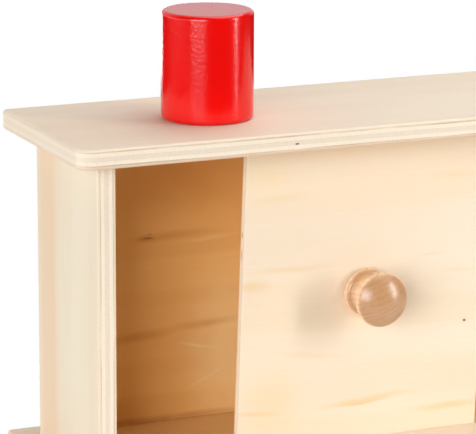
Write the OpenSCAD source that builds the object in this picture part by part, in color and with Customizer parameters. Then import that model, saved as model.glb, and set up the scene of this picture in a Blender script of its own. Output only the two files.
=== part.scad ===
// Object permanence box: a plywood box with a sliding door and a loose red cylinder to hide.
// Origin: middle of the base plate's underside. +Z is up and the front faces -Y. Millimetres.

/* [Plates] */
// Width of the top and base plates
plate_w = 308; // [280:1:360]
// Depth of the top and base plates
plate_d = 103; // [96:1:130]
// Thickness of the plates
plate_t = 9; // [8:0.5:15]
// Radius of the plates' front corners in plan
front_corner_r = 8; // [4:0.5:12]
// Radius of the plates' back corners in plan
back_corner_r = 2.5; // [2:0.5:12]
// How far the plates stand out past the box on each side
overhang = 12.5; // [6:0.5:18]
// Eased arris along the plates' edges
plate_ease = 0.7; // [0.3:0.1:1.5]

/* [Sides and back] */
// Clear height between the plates
clear_h = 148; // [120:1:200]
// Thickness of the side panels
side_t = 9; // [8:0.5:15]
// Eased arris on the upright edges of the sides
side_ease = 0.5; // [0.2:0.1:1]
// Thickness of the back panel
back_t = 3; // [2:0.5:6]
// Width of the rebate in each side that takes the back panel
rebate_w = 5; // [3:0.5:6]
// Gap between the back panel and what it sits in
back_gap = 0.2; // [0.1:0.05:0.5]

/* [Door] */
// Width of the sliding door
door_w = 126; // [100:1:140]
// Thickness of the door
door_t = 5; // [3:0.5:7]
// How far the door's face lies behind the front edges of the sides
door_setback = 12.6; // [6:0.1:20]
// Where the middle of the door stands, right of the middle of the box
door_x = -1.8; // [-30:0.1:30]
// How far the loose door leans in its grooves, in degrees, its top to the right
door_rack = 1.9; // [0:0.1:2]
// Depth of the grooves in the plates
groove_depth = 5.5; // [4:0.1:6]
// Play between the door and its grooves, and the sides at the ends of its travel
door_play = 0.4; // [0.2:0.05:0.8]
// Eased arris on the upright edges of the door
door_ease = 0.4; // [0.2:0.1:1]

/* [Knob] */
// Length of the knob from the door to its crown
knob_len = 25; // [23.5:0.1:25]
// Diameter of the knob's head
head_d = 26; // [20:0.1:34]
// Radius of the head's round rim
rim_r = 3; // [2:0.1:4]
// Distance of the head's rim from the door
rim_out = 18; // [15:0.1:18.5]
// Diameter of the knob's foot
foot_d = 23; // [18:0.1:28]
// Thickness of the knob's foot
foot_t = 5; // [3:0.1:6]
// Diameter of the knob's neck
neck_d = 15; // [12:0.1:17]
// Radius of the cove at the neck, as a multiple of half the gap between foot and head
cove_fullness = 1.45; // [1.05:0.05:1.6]
// How far the knob sits below the middle of the door
knob_drop = 1.7; // [0:0.1:20]

/* [Cylinder] */
// Diameter of the red cylinder
cylinder_d = 43; // [30:0.5:50]
// Height of the red cylinder
cylinder_h = 50.5; // [30:0.5:90]
// Radius of the cylinder's rounded edges
cylinder_edge_r = 2; // [0.5:0.1:4]
// Where the cylinder stands, right of the middle of the box
cylinder_x = -72.5; // [-110:0.5:110]
// Where the cylinder stands, behind the middle of the box
cylinder_y = -2.5; // [-15:0.5:15]

/* [Fasteners] */
// Diameter of the dowels in the sides
dowel_d = 5; // [4:0.5:6]
// Length of a dowel inside a plate
dowel_in_plate = 5; // [3:0.5:6]
// Length of a dowel inside a side panel
dowel_in_side = 14; // [8:0.5:20]
// Distance between the two dowels at each end of a side
dowel_pitch = 36; // [24:1:44]
// Chamfer at the ends of a dowel
dowel_chamfer = 0.6; // [0.2:0.1:1]
// Shank diameter of the knob's screw
screw_d = 3.4; // [2.5:0.1:4]
// Diameter of the screw's countersunk head
screw_head_d = 6.8; // [5:0.1:8]
// Length of the screw
screw_len = 18; // [12:0.5:22]
// Length of the screw's point
screw_tip = 3.4; // [2:0.1:5]
// Width of the slots of the cross recess in the screw's head
recess_w = 1; // [0.7:0.1:1.4]
// Length of the slots of the cross recess
recess_len = 3.8; // [2.5:0.1:4.5]
// Depth of the cross recess
recess_depth = 1; // [0.6:0.1:1.4]
// Shank diameter of a back panel pin
pin_d = 1.4; // [1:0.1:2]
// Head diameter of a back panel pin
pin_head_d = 2.8; // [2.2:0.1:4]
// Length of a back panel pin
pin_len = 14; // [10:0.5:20]
// Length of a pin's point
pin_tip = 2.1; // [1:0.1:4]
// Number of pins along each side of the back panel
pins_per_side = 3; // [2:1:6]
// Distance from the plates to the nearest pin
pin_inset = 14; // [8:1:30]
// Gap round a fastener in its hole
hole_gap = 0.05; // [0.02:0.01:0.2]
// Free space past the end of a fastener
end_gap = 0.5; // [0.3:0.1:1]

/* [Hidden] */
$fn = 96;
eps = 0.01;
ply_colour = "#f0dcbc";
door_colour = "#f8e3c2";
beech_colour = "#d9a678";
red_colour = "#e01512";
steel_colour = "#b9b9b4";

// The box between the plates
body_w = plate_w - 2 * overhang;
body_d = plate_d - 2 * overhang;
inner_w = body_w - 2 * side_t;
front_y = -body_d / 2;
back_y = body_d / 2;
floor_z = plate_t;
ceiling_z = plate_t + clear_h;
top_z = ceiling_z + plate_t;
mid_z = (floor_z + ceiling_z) / 2;
back_w = inner_w + 2 * (rebate_w - back_gap);

// The door leans until two of its corners all but touch the floors of the grooves
groove_w = door_t + 2 * door_play;
door_front_y = front_y + door_setback;
door_mid_y = door_front_y + door_t / 2;
groove_room = clear_h + 2 * groove_depth - 2 * door_play;
door_h = (groove_room - door_w * sin(door_rack)) / cos(door_rack);

// The knob's profile: a cove between foot and head, and a crown that runs tangent into the rim
foot_edge_r = foot_t / 2;
land_r = foot_d / 2 - foot_edge_r;
rim_centre_r = head_d / 2 - rim_r;
head_back = rim_out - rim_r;
cove_mid = (foot_t + head_back) / 2;
cove_r = cove_fullness * (head_back - foot_t) / 2;
crown_rise = knob_len - rim_out - rim_r;
crown_r = knob_len - rim_out + (rim_centre_r ^ 2 - crown_rise ^ 2) / (2 * crown_rise);

// The fasteners
dowel_len = dowel_in_plate + dowel_in_side;
screw_head_t = (screw_head_d - screw_d) / 2;
pin_head_t = (pin_head_d - pin_d) / 2;
pin_x = inner_w / 2 + (rebate_w - back_gap) / 2;
pin_span = clear_h - 2 * pin_inset;

// Rectangle about the origin with its four corners cut off
module eased_rect(w, d, ease) {
    x = w / 2;
    y = d / 2;
    polygon([[-x + ease, -y], [x - ease, -y], [x, -y + ease], [x, y - ease],
             [x - ease, y], [-x + ease, y], [-x, y - ease], [-x, -y + ease]]);
}

// Round corner of a plate: a disc on z = 0 with eased arrises
module plate_corner(r) {
    rotate_extrude()
        polygon([[0, 0], [r - plate_ease, 0], [r, plate_ease],
                 [r, plate_t - plate_ease], [r - plate_ease, plate_t], [0, plate_t]]);
}

// Plate lying on z = 0 with round corners in plan and eased arrises all round
module plate_blank() {
    translate([0, plate_d / 2 - back_corner_r, plate_t / 2]) rotate([90, 0, 0])
        linear_extrude(plate_d - front_corner_r - back_corner_r) eased_rect(plate_w, plate_t, plate_ease);
    for (edge = [[-1, front_corner_r], [1, back_corner_r]]) {
        r = edge[1];
        straight_w = plate_w - 2 * r;
        translate([-straight_w / 2, edge[0] * plate_d / 4, plate_t / 2]) rotate([90, 0, 90])
            linear_extrude(straight_w) eased_rect(plate_d / 2, plate_t, plate_ease);
        for (sx = [-1, 1])
            translate([sx * straight_w / 2, edge[0] * (plate_d / 2 - r), 0]) plate_corner(r);
    }
}

// Stopped groove for the door, cut upwards from z = 0, its round ends hidden under the sides
module door_groove() {
    translate([-inner_w / 2, door_mid_y - groove_w / 2, -eps]) cube([inner_w, groove_w, groove_depth + eps]);
    for (sx = [-1, 1])
        translate([sx * inner_w / 2, door_mid_y, -eps]) cylinder(d = groove_w, h = groove_depth + eps);
}

// Places of the dowels at one end of both sides
module at_dowels(sides = [-1, 1]) {
    for (sx = sides, sy = [-1, 1])
        translate([sx * (body_w - side_t) / 2, sy * dowel_pitch / 2, 0]) children();
}

// Blind hole for a dowel, cut upwards from z = 0
module dowel_hole(depth) {
    translate([0, 0, -eps]) cylinder(d = dowel_d + 2 * hole_gap, h = depth + end_gap + eps);
}

// Dowel standing on z = 0
module dowel() {
    r = dowel_d / 2;
    c = dowel_chamfer;
    rotate_extrude() polygon([[0, 0], [r - c, 0], [r, c], [r, dowel_len - c], [r - c, dowel_len], [0, dowel_len]]);
}

// Places of the pins in the back face of the box, along one or both sides
module at_pins(sides = [-1, 1]) {
    for (sx = sides, i = [0 : pins_per_side - 1])
        translate([sx * pin_x, back_y, floor_z + pin_inset + i * pin_span / (pins_per_side - 1)])
            rotate([90, 0, 0]) children();
}

// Pin or its hole: the head lies flush in z = 0 and the shank runs up, wider by gap
module pin_shape(gap, tail) {
    r = pin_d / 2 + gap;
    head = pin_head_d / 2 + gap;
    rotate_extrude() polygon([[0, 0], [head, 0], [r, pin_head_t], [r, pin_len - pin_tip + tail],
                              [0, pin_len + tail]]);
}

// Side panel on the left, with its rebate for the back, dowel holes and pin holes
module side_panel() {
    color(ply_colour) difference() {
        translate([-(body_w - side_t) / 2, 0, floor_z])
            linear_extrude(clear_h) eased_rect(side_t, body_d, side_ease);
        translate([-inner_w / 2 - rebate_w, back_y - back_t, floor_z - eps])
            cube([rebate_w + eps, back_t + eps, clear_h + 2 * eps]);
        translate([0, 0, floor_z]) at_dowels([-1]) dowel_hole(dowel_in_side);
        translate([0, 0, ceiling_z]) mirror([0, 0, 1]) at_dowels([-1]) dowel_hole(dowel_in_side);
        at_pins([-1]) pin_shape(hole_gap, end_gap);
    }
}

module left_side_panel() side_panel();

module right_side_panel() mirror([1, 0, 0]) side_panel();

module top_plate() {
    color(ply_colour) translate([0, 0, ceiling_z]) difference() {
        plate_blank();
        door_groove();
        at_dowels() dowel_hole(dowel_in_plate);
    }
}

module base_plate() {
    color(ply_colour) difference() {
        plate_blank();
        translate([0, 0, floor_z]) mirror([0, 0, 1]) door_groove();
        translate([0, 0, floor_z]) mirror([0, 0, 1]) at_dowels() dowel_hole(dowel_in_plate);
    }
}

module back_panel() {
    color(ply_colour) difference() {
        translate([-back_w / 2, back_y - back_t, floor_z]) cube([back_w, back_t, clear_h]);
        at_pins() pin_shape(hole_gap, end_gap);
    }
}

// The door's own place: x along it, -y out of its face, z up it from its middle
module on_door() {
    translate([door_x, door_front_y, mid_z]) rotate([0, door_rack, 0]) children();
}

// The screw's shape along +z with its head's face in z = 0, wider by gap, and blunt for a hole
module screw_shape(gap, tail) {
    r = screw_d / 2 + gap;
    head = screw_head_d / 2 + gap;
    rotate_extrude() polygon([[0, 0], [head, 0], [r, screw_head_t], [r, screw_len - screw_tip + tail],
                              [0, screw_len + tail]]);
}

// The screw's place in the door: its head lies flush in the door's back
module at_screw() {
    translate([0, door_t, -knob_drop]) rotate([90, 0, 0]) children();
}

module sliding_door() {
    color(door_colour) on_door() difference() {
        translate([0, door_t / 2, -door_h / 2]) linear_extrude(door_h) eased_rect(door_w, door_t, door_ease);
        at_screw() screw_shape(hole_gap, end_gap);
    }
}

// Half of the knob's section: foot with a round edge, cove, and head with a round rim and a crown
module knob_profile() {
    intersection() {
        translate([0, -eps]) square([head_d, knob_len + 2 * eps]);
        union() {
            square([land_r, foot_t]);
            translate([land_r, foot_edge_r]) circle(foot_edge_r);
            difference() {
                square([rim_centre_r, rim_out]);
                translate([neck_d / 2 + cove_r, cove_mid]) circle(cove_r);
            }
            translate([0, head_back]) square([rim_centre_r, rim_r]);
            translate([rim_centre_r, rim_out]) circle(rim_r);
            intersection() {
                translate([0, knob_len - crown_r]) circle(crown_r);
                translate([0, rim_out]) square([rim_centre_r * crown_r / (crown_r - rim_r), knob_len]);
            }
        }
    }
}

module door_knob() {
    color(beech_colour) on_door() difference() {
        translate([0, 0, -knob_drop]) rotate([90, 0, 0]) rotate_extrude() knob_profile();
        at_screw() screw_shape(hole_gap, end_gap);
    }
}

module knob_screw() {
    color(steel_colour) on_door() at_screw() difference() {
        screw_shape(0, 0);
        for (turn = [0, 90])
            rotate([0, 0, turn]) translate([-recess_len / 2, -recess_w / 2, -eps])
                cube([recess_len, recess_w, recess_depth + eps]);
    }
}

module red_cylinder() {
    r = cylinder_d / 2;
    e = cylinder_edge_r;
    color(red_colour) translate([cylinder_x, cylinder_y, top_z]) rotate_extrude() {
        square([r - e, cylinder_h]);
        translate([0, e]) square([r, cylinder_h - 2 * e]);
        for (z = [e, cylinder_h - e])
            translate([r - e, z]) circle(e);
    }
}

module top_dowels() {
    color(beech_colour) translate([0, 0, ceiling_z - dowel_in_side]) at_dowels() dowel();
}

module base_dowels() {
    color(beech_colour) translate([0, 0, floor_z - dowel_in_plate]) at_dowels() dowel();
}

module back_panel_pins() {
    color(steel_colour) at_pins() pin_shape(0, 0);
}

top_plate();
base_plate();
left_side_panel();
right_side_panel();
back_panel();
sliding_door();
door_knob();
knob_screw();
red_cylinder();
top_dowels();
base_dowels();
back_panel_pins();
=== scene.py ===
# Looks of the object permanence box: pale plywood with a sliding door, a turned knob and a red cylinder.
# Metres, in the part's own frame: x to the right, y to the back, z up. Sizes named _mm are millimetres.
import math
from collections import namedtuple

import bpy
from mathutils import Matrix, Vector


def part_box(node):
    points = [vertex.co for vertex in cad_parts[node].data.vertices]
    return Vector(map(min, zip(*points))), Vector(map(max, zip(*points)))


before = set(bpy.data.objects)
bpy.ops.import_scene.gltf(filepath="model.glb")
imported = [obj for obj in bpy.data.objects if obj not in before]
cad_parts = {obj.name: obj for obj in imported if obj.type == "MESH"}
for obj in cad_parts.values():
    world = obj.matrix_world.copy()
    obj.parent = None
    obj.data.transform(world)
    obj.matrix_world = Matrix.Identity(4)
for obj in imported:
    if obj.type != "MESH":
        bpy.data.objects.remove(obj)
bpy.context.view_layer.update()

MM = 0.001
X, Y, Z = 0, 1, 2

# Where things are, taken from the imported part
inside_low = Vector((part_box("left_side_panel")[1].x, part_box("sliding_door")[1].y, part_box("base_plate")[1].z))
inside_high = Vector((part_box("right_side_panel")[0].x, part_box("back_panel")[0].y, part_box("top_plate")[0].z))
side_face_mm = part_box("left_side_panel")[0].x / MM
door_face_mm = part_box("sliding_door")[0].y / MM
back_face_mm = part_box("back_panel")[0].y / MM
plate_front_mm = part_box("top_plate")[0].y / MM
knob_axis = sum(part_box("door_knob"), Vector()) / 2
knob_ring_tilt = math.radians(20)
door_lean = math.radians(1.9)

# The photograph's camera
camera_place = Vector((-0.6155, -1.2645, 0.4475))
camera_yaw = math.radians(23.884)
camera_pitch = math.radians(13.470)
camera_roll = math.radians(0.229)
camera_lens_mm = 228.93
camera_sensor_mm = 36.0
camera_clip = (0.05, 50.0)

# The studio: softboxes at the sides and overhead, a dim room in front and white paper behind and below
light_target = Vector((-0.02, -0.02, 0.09))
room_light = 0.09
room_shine = 0.02
backdrop_shine = 0.85
paper_low = (-0.8, -0.25)
paper_high = (0.5, 0.4)
paper_gap_mm = 0.1
shadow_reach_mm = (1.0, 14.0)
shadow_depth = 0.5

# A streak, knot or gap in the wood, or a patch of painted light or shade: where its middle is, how long it is
# along x, y and z, how many degrees it is turned in the face, its colour, how much of that colour it takes, and
# how much of it is flat inside its soft edge
Mark = namedtuple("Mark", "at_mm size_mm turn tone share flat")


def linear(hex_colour):
    """An sRGB hex colour as linear red, green, blue and alpha."""
    channels = [int(hex_colour[i:i + 2], 16) / 255 for i in (1, 3, 5)]
    return [c / 12.92 if c <= 0.04045 else ((c + 0.055) / 1.055) ** 2.4 for c in channels] + [1.0]


def per_mm(*sizes):
    """Pattern repeats per metre for features of these sizes in millimetres."""
    return tuple(1 / (size * MM) for size in sizes)


def add(tree, kind, inputs=None, stops=None, **settings):
    """One shader node with its settings, colour stops and inputs: a value, or a node or output to link."""
    node = tree.nodes.new("ShaderNode" + kind)
    for name, value in settings.items():
        setattr(node, name, value)
    for name, value in (inputs or {}).items():
        if isinstance(value, bpy.types.Node):
            value = value.outputs[0]
        if isinstance(value, bpy.types.NodeSocket):
            tree.links.new(value, node.inputs[name])
        else:
            node.inputs[name].default_value = value
    for i, (place, colour) in enumerate(stops or ()):
        elements = node.color_ramp.elements
        element = elements[i] if i < 2 else elements.new(place)
        element.position, element.color = place, colour
    return node


def blank_material(name):
    """A new material with an empty node tree, and that tree."""
    material = bpy.data.materials.new(name)
    material.use_nodes = True
    material.node_tree.nodes.clear()
    return material, material.node_tree


def inside_shade_mask(tree, place):
    """1 on the walls of the hidden compartment, where the painted shade goes, 0 on everything outside it."""
    inside_mm, outside_mm = 0.2, 1.5
    centre = (inside_low + inside_high) / 2
    half = (inside_high - inside_low) / 2
    offset = add(tree, "VectorMath", {0: place, 1: centre}, operation="SUBTRACT")
    distance = add(tree, "VectorMath", {0: offset}, operation="ABSOLUTE")
    past = add(tree, "VectorMath", {0: distance, 1: half}, operation="SUBTRACT")
    axes = add(tree, "SeparateXYZ", {0: past})
    widest = add(tree, "Math", {0: axes.outputs[X], 1: axes.outputs[Y]}, operation="MAXIMUM")
    widest = add(tree, "Math", {0: widest, 1: axes.outputs[Z]}, operation="MAXIMUM")
    return add(tree, "MapRange", {"Value": widest, "From Min": outside_mm * MM, "From Max": inside_mm * MM})


def lay_marks(tree, colour, place, through, marks):
    """The colour with streaks, knots, gaps and patches of painted light and shade laid over it, their outlines a
    little wavy.
    """
    wander_mm = 2.4
    wander = add(tree, "TexNoise", {"Vector": place, "Scale": per_mm(18)[0], "Detail": 2.0})
    wander = add(tree, "VectorMath", {0: wander.outputs["Color"], 1: (0.5, 0.5, 0.5)}, operation="SUBTRACT")
    wander = add(tree, "VectorMath", {0: wander, "Scale": wander_mm * MM}, operation="SCALE")
    wavy = add(tree, "VectorMath", {0: place, 1: wander}, operation="ADD")
    for mark in marks:
        turn = [0.0, 0.0, 0.0]
        turn[through] = -math.radians(mark.turn)
        local = add(tree, "Mapping", {
            "Vector": wavy, "Location": Vector(mark.at_mm) * MM, "Rotation": turn,
            "Scale": Vector(mark.size_mm) * MM / 2}, vector_type="TEXTURE")
        reach = add(tree, "VectorMath", {0: local}, operation="LENGTH")
        share = add(tree, "MapRange", {
            "Value": reach.outputs["Value"], "From Min": 1.0, "From Max": mark.flat, "To Max": mark.share},
            interpolation_type="SMOOTHSTEP")
        colour = add(tree, "MixRGB", {"Fac": share, "Color1": colour, "Color2": linear(mark.tone)})
    return colour


def veneer_face(tree, board, tones):
    """The colour of rotary-cut face veneer, and its fibres.

    The veneer is peeled off the log, so its year rings lie as soft contours about 40 mm wide and 400 mm long,
    in wood that drifts in tone. Fibres are drawn 0.45 mm wide, coarser than real ones, so that they show.
    """
    light, late, drift_tone = (linear(tone) for tone in tones)
    rings_per_swing = 22.0
    stretched = add(tree, "VectorMath", {0: board, 1: per_mm(420, 42, 200)}, operation="MULTIPLY")
    contour = add(tree, "TexNoise", {"Vector": stretched, "Scale": 1.0, "Detail": 2.0, "Roughness": 0.45})
    rings = add(tree, "Math", {0: contour, 1: rings_per_swing}, operation="MULTIPLY")
    rings = add(tree, "Math", {0: rings}, operation="SINE")
    rings = add(tree, "MapRange", {"Value": rings, "From Min": -0.4, "From Max": 1.0, "To Max": 0.28},
                interpolation_type="SMOOTHSTEP")
    stretched = add(tree, "VectorMath", {0: board, 1: per_mm(230, 60, 200)}, operation="MULTIPLY")
    drift = add(tree, "TexNoise", {"Vector": stretched, "Scale": 1.0, "Detail": 1.0})
    drift = add(tree, "MapRange", {"Value": drift, "From Min": 0.38, "From Max": 0.66},
                interpolation_type="SMOOTHSTEP")
    stretched = add(tree, "VectorMath", {0: board, 1: per_mm(22, 0.45, 0.45)}, operation="MULTIPLY")
    fibre = add(tree, "TexNoise", {"Vector": stretched, "Scale": 1.0, "Detail": 3.0, "Roughness": 0.6})
    stretched = add(tree, "VectorMath", {0: board, 1: per_mm(4, 0.5, 0.5)}, operation="MULTIPLY")
    fleck = add(tree, "TexNoise", {"Vector": stretched, "Scale": 1.0, "Detail": 0.0})
    fleck = add(tree, "MapRange", {"Value": fleck, "From Min": 0.76, "From Max": 0.88, "To Max": 0.12})

    face = add(tree, "MixRGB", {"Fac": drift, "Color1": light, "Color2": drift_tone})
    face = add(tree, "MixRGB", {"Fac": rings, "Color1": face, "Color2": late})
    fibre_tone = add(tree, "ValToRGB", {"Fac": fibre},
                     stops=[(0.30, linear("#efe9e3")), (0.60, linear("#ffffff"))])
    face = add(tree, "MixRGB", {"Fac": 0.15, "Color1": face, "Color2": fibre_tone}, blend_type="MULTIPLY")
    face = add(tree, "MixRGB", {"Fac": fleck, "Color1": face, "Color2": linear("#c79a6b")})
    return face, fibre


def ply_edge(tree, place, board, depth, plies):
    """The colour of a sawn edge: plies of alternate grain, with glue lines that come and go along the board.

    depth runs from 0 to 1 through the board. The glue lines under the two face veneers show most.
    """
    ply_blur_mm, glue_reach_mm = 0.2, 0.4
    no_glue, faint_glue, clear_glue = linear("#000000"), linear("#707070"), linear("#ffffff")
    thickness_mm = sum(ply_mm for ply_mm, ply_tone in plies)
    blur, glue = ply_blur_mm / thickness_mm, glue_reach_mm / thickness_mm
    ply_stops, glue_stops, top = [], [(0.0, no_glue)], 0.0
    for ply, (ply_mm, ply_tone) in enumerate(plies):
        bottom, top = top, top + ply_mm / thickness_mm
        ply_stops += [(bottom + blur, linear(ply_tone)), (top - blur, linear(ply_tone))]
        if ply + 1 < len(plies):
            line = clear_glue if ply in (0, len(plies) - 2) else faint_glue
            glue_stops += [(top - glue, no_glue), (top, line), (top + glue, no_glue)]
    edge = add(tree, "ValToRGB", {"Fac": depth}, stops=ply_stops)
    lines = add(tree, "ValToRGB", {"Fac": depth}, stops=glue_stops)
    stretched = add(tree, "VectorMath", {0: board, 1: per_mm(26, 26, 2.2)}, operation="MULTIPLY")
    come_and_go = add(tree, "TexNoise", {"Vector": stretched, "Scale": 1.0, "Detail": 2.0})
    come_and_go = add(tree, "MapRange", {
        "Value": come_and_go, "From Min": 0.25, "From Max": 0.70, "To Max": 0.75})
    lines = add(tree, "Math", {0: lines, 1: come_and_go}, operation="MULTIPLY")
    edge = add(tree, "MixRGB", {"Fac": lines, "Color1": edge, "Color2": linear("#a58a6c")})
    speckle = add(tree, "TexNoise", {"Vector": place, "Scale": per_mm(0.7)[0], "Detail": 2.0})
    speckle = add(tree, "ValToRGB", {"Fac": speckle},
                  stops=[(0.35, linear("#ece4da")), (0.60, linear("#ffffff"))])
    return add(tree, "MixRGB", {"Fac": 0.25, "Color1": edge, "Color2": speckle}, blend_type="MULTIPLY")


def plywood(name, node, grain, plies, tones, seed, marks=(), inside_shade_tint="#ffffff", lean=0.0):
    """Sanded plywood under thin satin lacquer: streaked faces that shine softly, edges that show the plies.

    grain names the axes along, across and through the board. plies are thicknesses and tones from low to
    high. tones are the face's light wood, its late wood and its drift. seed says where in the log it was cut.
    """
    along, through = grain[0], grain[2]
    low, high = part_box(node)
    material, tree = blank_material(name)
    coordinates = add(tree, "TexCoord")
    place = coordinates.outputs["Object"]
    turned = add(tree, "VectorRotate", {"Vector": place, "Angle": -lean}, rotation_type="Y_AXIS")
    axes = add(tree, "SeparateXYZ", {0: turned})
    board = add(tree, "CombineXYZ", {i: axes.outputs[axis] for i, axis in enumerate(grain)})
    board = add(tree, "VectorMath", {0: board, 1: seed}, operation="ADD")
    face, fibre = veneer_face(tree, board, tones)

    # The plies waver by 0.4 mm along the board
    waver_mm = 0.4
    stretched = add(tree, "VectorMath", {0: board, 1: per_mm(60, 60, 60)}, operation="MULTIPLY")
    waver = add(tree, "TexNoise", {"Vector": stretched, "Scale": 1.0, "Detail": 2.0})
    waver = add(tree, "MapRange", {"Value": waver, "To Min": -waver_mm * MM, "To Max": waver_mm * MM})
    depth = add(tree, "Math", {0: axes.outputs[through], 1: waver}, operation="ADD")
    depth = add(tree, "MapRange", {"Value": depth, "From Min": low[through], "From Max": high[through]})
    edge = ply_edge(tree, place, board, depth, plies)

    # Board ends, cut across the face grain, are sanded closer to one tone
    normal = add(tree, "SeparateXYZ", {0: coordinates.outputs["Normal"]})
    ends = add(tree, "Math", {0: normal.outputs[along]}, operation="ABSOLUTE")
    ends = add(tree, "Math", {0: ends, 1: 0.55}, operation="MULTIPLY")
    edge = add(tree, "MixRGB", {"Fac": ends, "Color1": edge, "Color2": linear(plies[1][1])})

    # Faces and edges together, with the marks of this board, and painted shade: a warmer, darker tint inside the
    # compartment
    facing = add(tree, "Math", {0: normal.outputs[through]}, operation="ABSOLUTE")
    facing = add(tree, "MapRange", {"Value": facing, "From Min": 0.55, "From Max": 0.85})
    colour = add(tree, "MixRGB", {"Fac": facing, "Color1": edge, "Color2": face})
    colour = lay_marks(tree, colour, place, through, marks)
    # Painted shade: the walls of the compartment take a warmer, darker tint
    inside = inside_shade_mask(tree, place)
    colour = add(tree, "MixRGB", {"Fac": inside, "Color1": colour, "Color2": linear(inside_shade_tint)},
                 blend_type="MULTIPLY")
    roughness = add(tree, "MapRange", {"Value": fibre, "To Min": 0.60, "To Max": 0.74})
    bump = add(tree, "Bump", {"Strength": 0.3, "Distance": 0.05 * MM, "Height": fibre})
    shader = add(tree, "BsdfPrincipled", {
        "Base Color": colour, "Roughness": roughness, "IOR": 1.5, "Normal": bump,
        "Coat Weight": 0.1, "Coat Roughness": 0.5, "Coat IOR": 1.5})
    add(tree, "OutputMaterial", {"Surface": shader})
    return material


def turned_beech(name, centre, ring_tilt):
    """Beech turned along its grain, clear lacquered: pinkish tan flanks, browner end grain with close rings.

    The year rings wander, with short darker flecks along them.
    """
    ring_gap_mm = 2.4
    ring_wander = 10.0
    material, tree = blank_material(name)
    coordinates = add(tree, "TexCoord")
    local = add(tree, "VectorMath", {0: coordinates.outputs["Object"], 1: centre}, operation="SUBTRACT")
    local = add(tree, "VectorRotate", {"Vector": local, "Angle": ring_tilt}, rotation_type="Y_AXIS")
    stretched = add(tree, "VectorMath", {0: local, 1: per_mm(16, 40, 5)}, operation="MULTIPLY")
    bend = add(tree, "TexNoise", {"Vector": stretched, "Scale": 1.0, "Detail": 2.0})
    bend = add(tree, "Math", {0: bend, 1: ring_wander}, operation="MULTIPLY")
    axes = add(tree, "SeparateXYZ", {0: local})
    rings = add(tree, "Math", {0: axes.outputs[Z], 1: per_mm(ring_gap_mm)[0] * math.tau}, operation="MULTIPLY")
    rings = add(tree, "Math", {0: rings, 1: bend}, operation="ADD")
    rings = add(tree, "Math", {0: rings}, operation="SINE")
    rings = add(tree, "MapRange", {"Value": rings, "From Min": -0.2, "From Max": 1.0, "To Max": 0.22},
                interpolation_type="SMOOTHSTEP")
    stretched = add(tree, "VectorMath", {0: local, 1: per_mm(2.5, 9, 0.35)}, operation="MULTIPLY")
    fleck = add(tree, "TexNoise", {"Vector": stretched, "Scale": 1.0, "Detail": 2.0})
    fleck = add(tree, "MapRange", {"Value": fleck, "From Min": 0.50, "From Max": 0.72, "To Max": 0.42})
    normal = add(tree, "SeparateXYZ", {0: coordinates.outputs["Normal"]})
    end_grain = add(tree, "Math", {0: normal.outputs[Y]}, operation="ABSOLUTE")
    end_grain = add(tree, "MapRange", {"Value": end_grain, "From Min": 0.25, "From Max": 0.8},
                    interpolation_type="SMOOTHSTEP")
    colour = add(tree, "MixRGB", {"Fac": end_grain, "Color1": linear("#ffd6ae"), "Color2": linear("#c9986b")})
    colour = add(tree, "MixRGB", {"Fac": rings, "Color1": colour, "Color2": linear("#b58052")})
    colour = add(tree, "MixRGB", {"Fac": fleck, "Color1": colour, "Color2": linear("#a87248")})
    roughness = add(tree, "MapRange", {"Value": fleck, "To Min": 0.34, "To Max": 0.44})
    bump = add(tree, "Bump", {"Strength": 0.3, "Distance": 0.05 * MM, "Height": fleck})
    shader = add(tree, "BsdfPrincipled", {
        "Base Color": colour, "Roughness": roughness, "IOR": 1.5, "Normal": bump,
        "Coat Weight": 0.8, "Coat Roughness": 0.28, "Coat IOR": 1.5})
    add(tree, "OutputMaterial", {"Surface": shader})
    return material


def red_lacquer(name):
    """Gloss red lacquer on turned wood: the flat end grain painted a darker red, as shade that dims the top face,
    with a faint ripple that softens the shine.

    The ripple, about 1.2 mm wide, is the wood's grain raised under the lacquer.
    """
    material, tree = blank_material(name)
    coordinates = add(tree, "TexCoord")
    place = coordinates.outputs["Object"]
    stretched = add(tree, "VectorMath", {0: place, 1: per_mm(1.2, 1.2, 1.6)}, operation="MULTIPLY")
    ripple = add(tree, "TexNoise", {"Vector": stretched, "Scale": 1.0, "Detail": 0.0})
    stretched = add(tree, "VectorMath", {0: place, 1: per_mm(30, 30, 30)}, operation="MULTIPLY")
    cloud = add(tree, "TexNoise", {"Vector": stretched, "Scale": 1.0, "Detail": 1.0})
    colour = add(tree, "MixRGB", {"Fac": cloud, "Color1": linear("#ec0b07"), "Color2": linear("#e60a06")})
    # Painted shade: the flat ends, facing up and down, take a darker red
    normal = add(tree, "SeparateXYZ", {0: coordinates.outputs["Normal"]})
    ends = add(tree, "Math", {0: normal.outputs[Z]}, operation="ABSOLUTE")
    ends = add(tree, "MapRange", {"Value": ends, "From Min": 0.80, "From Max": 0.98})
    colour = add(tree, "MixRGB", {"Fac": ends, "Color1": colour, "Color2": linear("#c60a08")})
    roughness = add(tree, "MapRange", {"Value": ripple, "To Min": 0.16, "To Max": 0.2})
    bump = add(tree, "Bump", {"Strength": 1.0, "Distance": 0.036 * MM, "Height": ripple})
    shader = add(tree, "BsdfPrincipled", {
        "Base Color": colour, "Roughness": roughness, "IOR": 1.5, "Normal": bump})
    add(tree, "OutputMaterial", {"Surface": shader})
    return material


def zinc_steel(name):
    """Bright zinc plate on steel: a cold grey shine with a faint straw bloom."""
    material, tree = blank_material(name)
    place = add(tree, "TexCoord").outputs["Object"]
    bloom = add(tree, "TexNoise", {"Vector": place, "Scale": per_mm(1.6)[0], "Detail": 3.0})
    colour = add(tree, "MixRGB", {"Fac": bloom, "Color1": linear("#c9ccce"), "Color2": linear("#cfc6ae")})
    roughness = add(tree, "MapRange", {"Value": bloom, "To Min": 0.22, "To Max": 0.42})
    shader = add(tree, "BsdfPrincipled", {"Base Color": colour, "Metallic": 1.0, "Roughness": roughness})
    add(tree, "OutputMaterial", {"Surface": shader})
    return material


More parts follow.
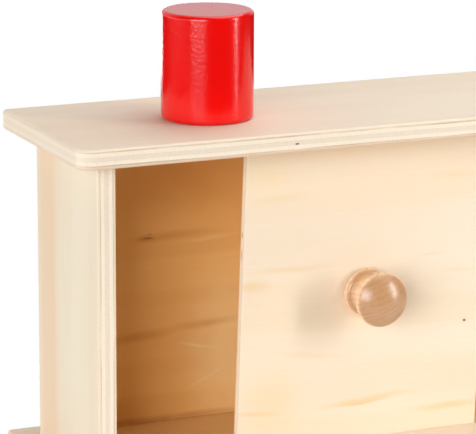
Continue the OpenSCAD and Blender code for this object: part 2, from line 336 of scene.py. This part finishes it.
def seen_directly(tree):
    """1 for rays from the camera, a mirror or glass, which show the white paper itself."""
    path = add(tree, "LightPath")
    seen = add(tree, "Math", {
        0: path.outputs["Is Camera Ray"], 1: path.outputs["Is Glossy Ray"]}, operation="MAXIMUM")
    return add(tree, "Math", {0: seen, 1: path.outputs["Is Transmission Ray"]}, operation="MAXIMUM")


def white_paper(name):
    """Matt white background paper: it keeps the shadow close to the box and is plain white further off."""
    material, tree = blank_material(name)
    place = add(tree, "TexCoord").outputs["Object"]
    low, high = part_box("base_plate")
    half = (high - low) / 2
    distance = add(tree, "VectorMath", {0: place}, operation="ABSOLUTE")
    past = add(tree, "VectorMath", {0: distance, 1: half}, operation="SUBTRACT")
    past = add(tree, "VectorMath", {0: past, 1: (0, 0, 0)}, operation="MAXIMUM")
    reach = add(tree, "VectorMath", {0: past}, operation="LENGTH")
    fade = add(tree, "MapRange", {
        "Value": reach.outputs["Value"],
        "From Min": shadow_reach_mm[0] * MM, "From Max": shadow_reach_mm[1] * MM,
        "To Min": 1 - shadow_depth, "To Max": 1.0}, interpolation_type="SMOOTHSTEP")
    share = add(tree, "Math", {0: fade, 1: seen_directly(tree)}, operation="MULTIPLY")
    lit = add(tree, "BsdfDiffuse", {"Color": linear("#d8d8d8")})
    white = add(tree, "Emission", {"Color": linear("#ffffff"), "Strength": 1.0})
    shader = add(tree, "MixShader", {0: share, 1: lit, 2: white})
    add(tree, "OutputMaterial", {"Surface": shader})
    return material


def lay_paper():
    """The sheet of paper under the box."""
    (x0, y0), (x1, y1) = paper_low, paper_high
    mesh = bpy.data.meshes.new("white_paper")
    mesh.from_pydata([(x0, y0, 0), (x1, y0, 0), (x1, y1, 0), (x0, y1, 0)], [], [(0, 1, 2, 3)])
    paper = bpy.data.objects.new("white_paper", mesh)
    paper.location.z = -paper_gap_mm * MM
    mesh.materials.append(white_paper("white background paper"))
    bpy.context.scene.collection.objects.link(paper)


def light_room():
    """A dim room: white paper all round to the camera and behind the box to mirrors, and soft grey light."""
    world = bpy.data.worlds.new("studio")
    world.use_nodes = True
    tree = world.node_tree
    tree.nodes.clear()
    direction = add(tree, "SeparateXYZ", {0: add(tree, "TexCoord").outputs["Generated"]})
    behind = add(tree, "MapRange", {"Value": direction.outputs[Y], "From Min": 0.2, "From Max": 0.8})
    above = add(tree, "MapRange", {"Value": direction.outputs[Z], "From Min": -0.05, "From Max": 0.0})
    backdrop = add(tree, "Math", {0: behind, 1: above}, operation="MULTIPLY")
    backdrop = add(tree, "MapRange", {"Value": backdrop, "To Min": room_shine, "To Max": backdrop_shine})
    path = add(tree, "LightPath")
    mirror = add(tree, "Math", {
        0: path.outputs["Is Glossy Ray"], 1: path.outputs["Is Transmission Ray"]}, operation="MAXIMUM")
    strength = add(tree, "Mix", {0: mirror, 2: room_light, 3: backdrop})
    strength = add(tree, "Mix", {0: path.outputs["Is Camera Ray"], 2: strength, 3: 1.0})
    background = add(tree, "Background", {"Color": linear("#ffffff"), "Strength": strength})
    add(tree, "OutputWorld", {"Surface": background})
    bpy.context.scene.world = world


def softbox(name, azimuth, elevation, distance, width, height, power):
    """A softbox aimed at the box: azimuth in degrees right of the front, elevation above the horizon."""
    a, e = math.radians(azimuth), math.radians(elevation)
    towards = Vector((math.sin(a) * math.cos(e), -math.cos(a) * math.cos(e), math.sin(e)))
    lamp = bpy.data.lights.new(name, "AREA")
    lamp.shape, lamp.size, lamp.size_y, lamp.energy = "RECTANGLE", width, height, power
    box = bpy.data.objects.new(name, lamp)
    box.location = light_target + towards * distance
    box.rotation_euler = (-towards).to_track_quat("-Z", "Y").to_euler()
    box.visible_camera = False
    bpy.context.scene.collection.objects.link(box)


def set_camera():
    """The camera at the photograph's place, without shift or blur."""
    lens = bpy.data.cameras.new("camera")
    lens.lens, lens.sensor_width = camera_lens_mm, camera_sensor_mm
    lens.clip_start, lens.clip_end = camera_clip
    camera = bpy.data.objects.new("camera", lens)
    turn = Matrix.Rotation(-camera_yaw, 4, "Z") @ Matrix.Rotation(math.pi / 2 - camera_pitch, 4, "X")
    camera.matrix_world = Matrix.Translation(camera_place) @ turn @ Matrix.Rotation(camera_roll, 4, "Z")
    bpy.context.scene.collection.objects.link(camera)
    bpy.context.scene.camera = camera


def dress(material, *nodes):
    """Give nodes of the part this material."""
    for node in nodes:
        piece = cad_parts[node]
        piece.data.materials.clear()
        piece.data.materials.append(material)


def sand_arrises(width_mm, *nodes):
    """Round the arrises of boards a little, as sandpaper does."""
    for node in nodes:
        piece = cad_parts[node]
        weld = piece.modifiers.new("weld", "WELD")
        weld.merge_threshold = 0.001 * MM
        bevel = piece.modifiers.new("sanded_arris", "BEVEL")
        bevel.width, bevel.segments = width_mm * MM, 3
        bevel.limit_method, bevel.angle_limit = "ANGLE", math.radians(30)
        normals = piece.modifiers.new("normals", "WEIGHTED_NORMAL")
        normals.weight = 100


# Plies of the boards, from low to high along the axis through the board: thickness in millimetres and tone
plate_board = [(1.5, "#ecccaf"), (2.0, "#f8e9d3"), (2.0, "#eddcc6"), (2.1, "#f8e9d3"), (1.4, "#ecd7bd")]
side_board = [(1.5, "#f2dec4"), (2.0, "#f8e9d3"), (2.0, "#ecdcc8"), (2.1, "#f8e9d3"), (1.4, "#efdcc2")]
door_board = [(1.2, "#fdeed8"), (2.6, "#fff3e0"), (1.2, "#fbe8cf")]
back_board = [(0.8, "#eecb96"), (1.4, "#e4bd86"), (0.8, "#eecb96")]

# Tones of the faces: light wood, late wood and drift
plate_tones = ("#f3e3cd", "#ead4b7", "#efdcc5")
side_tones = ("#f3e6ce", "#edd8bb", "#f0e0c6")
door_tones = ("#f7e5cc", "#f1d7b2", "#f5e0c5")
back_tones = ("#fbdaa6", "#e8b97e", "#f3cd97")

# Painted shade: warmer, darker tints of the faces inside the compartment, for its dim bounced light
plate_inside_shade = "#fff0c6"
side_inside_shade = "#ffdeb0"
door_inside_shade = "#ffcc8c"
back_inside_shade = "#fff0c4"

# Streaks, zones of tone, knots and gaps, about where the photograph shows them
# Some of them are painted light and shade, each said so where it stands
knot, tan, honey, peach, cream = "#54371f", "#efc88f", "#f6dca6", "#efcfae", "#f5ecdc"
door_grain_and_shade_marks = [
    Mark((-40, door_face_mm, 95.5), (74, 4, 5), 0, tan, 0.39, 0.0),
    Mark((-61, door_face_mm, 89.0), (32, 4, 9), -2, tan, 0.59, 0.0),
    Mark((34, door_face_mm, 96.0), (17, 4, 2.2), 0, tan, 0.33, 0.0),
    Mark((47, door_face_mm, 86.8), (32, 4, 3), -1, tan, 0.26, 0.0),
    Mark((-32, door_face_mm, 53.0), (48, 4, 5), -8, tan, 0.29, 0.0),
    Mark((0, door_face_mm, 27.6), (70, 4, 6), 3, tan, 0.65, 0.0),
    Mark((-4, door_face_mm, 26.4), (40, 4, 2), 2, tan, 0.65, 0.2),
    Mark((44, door_face_mm, 19.7), (56, 4, 6), 0, tan, 0.65, 0.0),
    Mark((-57, door_face_mm, 27.0), (34, 4, 4), -6, tan, 0.59, 0.0),
    Mark((-50, door_face_mm, 32.0), (50, 4, 52), 0, "#f6d29c", 0.40, 0.0),
    Mark((-52, door_face_mm, 141.0), (36, 4, 24), 0, honey, 0.35, 0.0),
    Mark((-46, door_face_mm, 130.0), (50, 4, 7), 0, tan, 0.26, 0.0),
    Mark((46, door_face_mm, 133.5), (40, 4, 6), -2, tan, 0.29, 0.0),
    # Painted shade: a warm, darker band along the door's top, under the overhang of the top plate
    Mark((0, door_face_mm, 158.0), (300, 4, 30), 0, "#f7c98f", 0.50, 0.0),
    Mark((51.9, door_face_mm, 61.4), (7, 4, 5), 0, honey, 0.60, 0.0),
    Mark((51.9, door_face_mm, 61.4), (1.9, 3, 1.7), 0, knot, 0.90, 0.5),
    Mark((-64.0, door_face_mm + 2.6, 113.5), (2.5, 0.9, 5), 0, knot, 0.7, 0.4),
    Mark((-64.3, door_face_mm + 2.8, 104.0), (2.5, 0.8, 7), 0, knot, 0.6, 0.4),
]
back_grain_light_and_shade_marks = [
    Mark((-74, back_face_mm, 101.2), (66, 3, 7), 1.5, "#d69a55", 0.50, 0.0),
    Mark((-88, back_face_mm, 100.9), (13, 3, 4), 0, "#b4692a", 0.50, 0.0),
    Mark((-86.6, back_face_mm, 101.0), (6.5, 3, 1.0), 0, "#86380a", 0.75, 0.2),
    Mark((-86.0, back_face_mm, 102.6), (4.5, 3, 0.8), 0, "#86380a", 0.50, 0.2),
    Mark((-55, back_face_mm, 98.0), (44, 3, 3.5), 1.5, "#fff2d4", 0.40, 0.0),
    # Painted shadow: a darker patch on the top of the back, in the shade of the top plate
    Mark((-73, back_face_mm, 130.0), (80, 3, 50), 0, "#d08a3c", 0.50, 0.0),
    # Painted light: a pale zone on the lower right of the back, where light falls in through the open bay
    Mark((-46, back_face_mm, 42.0), (64, 3, 124), 0, "#fff4dc", 0.80, 0.0),
    Mark((-92, back_face_mm, 52.5), (56, 3, 8), 2, "#d0924c", 0.50, 0.0),
    Mark((-58, back_face_mm, 55.6), (56, 3, 7), 2.5, "#d69a50", 0.45, 0.0),
    Mark((-60, back_face_mm, 44.6), (34, 3, 2.6), -11, "#fffaec", 0.60, 0.0),
    Mark((-54, back_face_mm, 29.5), (34, 3, 2.8), 24, "#fffaec", 0.60, 0.0),
    # Painted shade: a dark line along the joint of back and floor
    Mark((-80, back_face_mm, 10.0), (160, 3, 6), 0, "#a8652a", 0.45, 0.0),
]
# Painted shade: a dark line on the floor along its joint with the back
base_joint_shade_marks = [Mark((-80, back_face_mm, 9.0), (160, 7, 3), 0, "#a8652a", 0.45, 0.0)]
side_marks = [
    Mark((side_face_mm, 25, 83), (4, 34, 700), 0, peach, 0.75, 0.3),
    Mark((side_face_mm, 19, 70), (4, 9, 300), 0, peach, 0.40, 0.0),
    Mark((side_face_mm, 2, 106), (4, 4, 40), 0, cream, 0.50, 0.0),
    Mark((side_face_mm, -14, 132), (4, 3, 24), 0, cream, 0.50, 0.0),
]
top_marks = [Mark((-49.3, plate_front_mm, 161.1), (3.0, 2, 1.2), 4, knot, 0.90, 0.4)]

# Each piece in its own finish. A board's grain runs along, across and through these axes.
lying, upright, facing_front = (X, Y, Z), (Z, Y, X), (X, Z, Y)
dress(plywood("birch plywood top", "top_plate", lying, plate_board, plate_tones, (0.3, 0.1, 0.7),
              top_marks, plate_inside_shade), "top_plate")
dress(plywood("birch plywood base", "base_plate", lying, plate_board, plate_tones, (1.3, 0.4, 0.2),
              base_joint_shade_marks, plate_inside_shade), "base_plate")
dress(plywood("birch plywood left side", "left_side_panel", upright, side_board, side_tones, (2.1, 0.2, 0.5),
              side_marks, side_inside_shade), "left_side_panel")
dress(plywood("birch plywood right side", "right_side_panel", upright, side_board, side_tones,
              (3.4, 0.6, 0.1), (), side_inside_shade), "right_side_panel")
dress(plywood("birch plywood back", "back_panel", facing_front, back_board, back_tones, (0.9, 0.8, 0.3),
              back_grain_light_and_shade_marks, back_inside_shade), "back_panel")
dress(plywood("birch plywood door", "sliding_door", facing_front, door_board, door_tones, (1.7, 0.3, 0.9),
              door_grain_and_shade_marks, door_inside_shade, door_lean), "sliding_door")
dress(turned_beech("turned beech", knob_axis, knob_ring_tilt), "door_knob", "top_dowels", "base_dowels")
dress(red_lacquer("red lacquer"), "red_cylinder")
dress(zinc_steel("zinc plated steel"), "knob_screw", "back_panel_pins")
sand_arrises(0.35, "top_plate", "base_plate")
sand_arrises(0.25, "left_side_panel", "right_side_panel", "sliding_door")

set_camera()
lay_paper()
light_room()
softbox("left_softbox", azimuth=-47, elevation=11, distance=1.8, width=1.15, height=0.98, power=24.8)
softbox("left_fill", azimuth=-105, elevation=6, distance=1.5, width=1.8, height=0.48, power=5.0)
softbox("right_softbox", azimuth=50, elevation=16, distance=0.9, width=0.13, height=0.55, power=3.9)
softbox("right_strip", azimuth=52, elevation=-6, distance=0.9, width=0.04, height=0.5, power=0.42)
softbox("back_fill", azimuth=176, elevation=-1, distance=1.4, width=0.9, height=0.28, power=4.6)
softbox("overhead_softbox", azimuth=105, elevation=70, distance=1.1, width=1.3, height=1.0, power=9.8)
bpy.context.scene.view_settings.view_transform = "Standard"
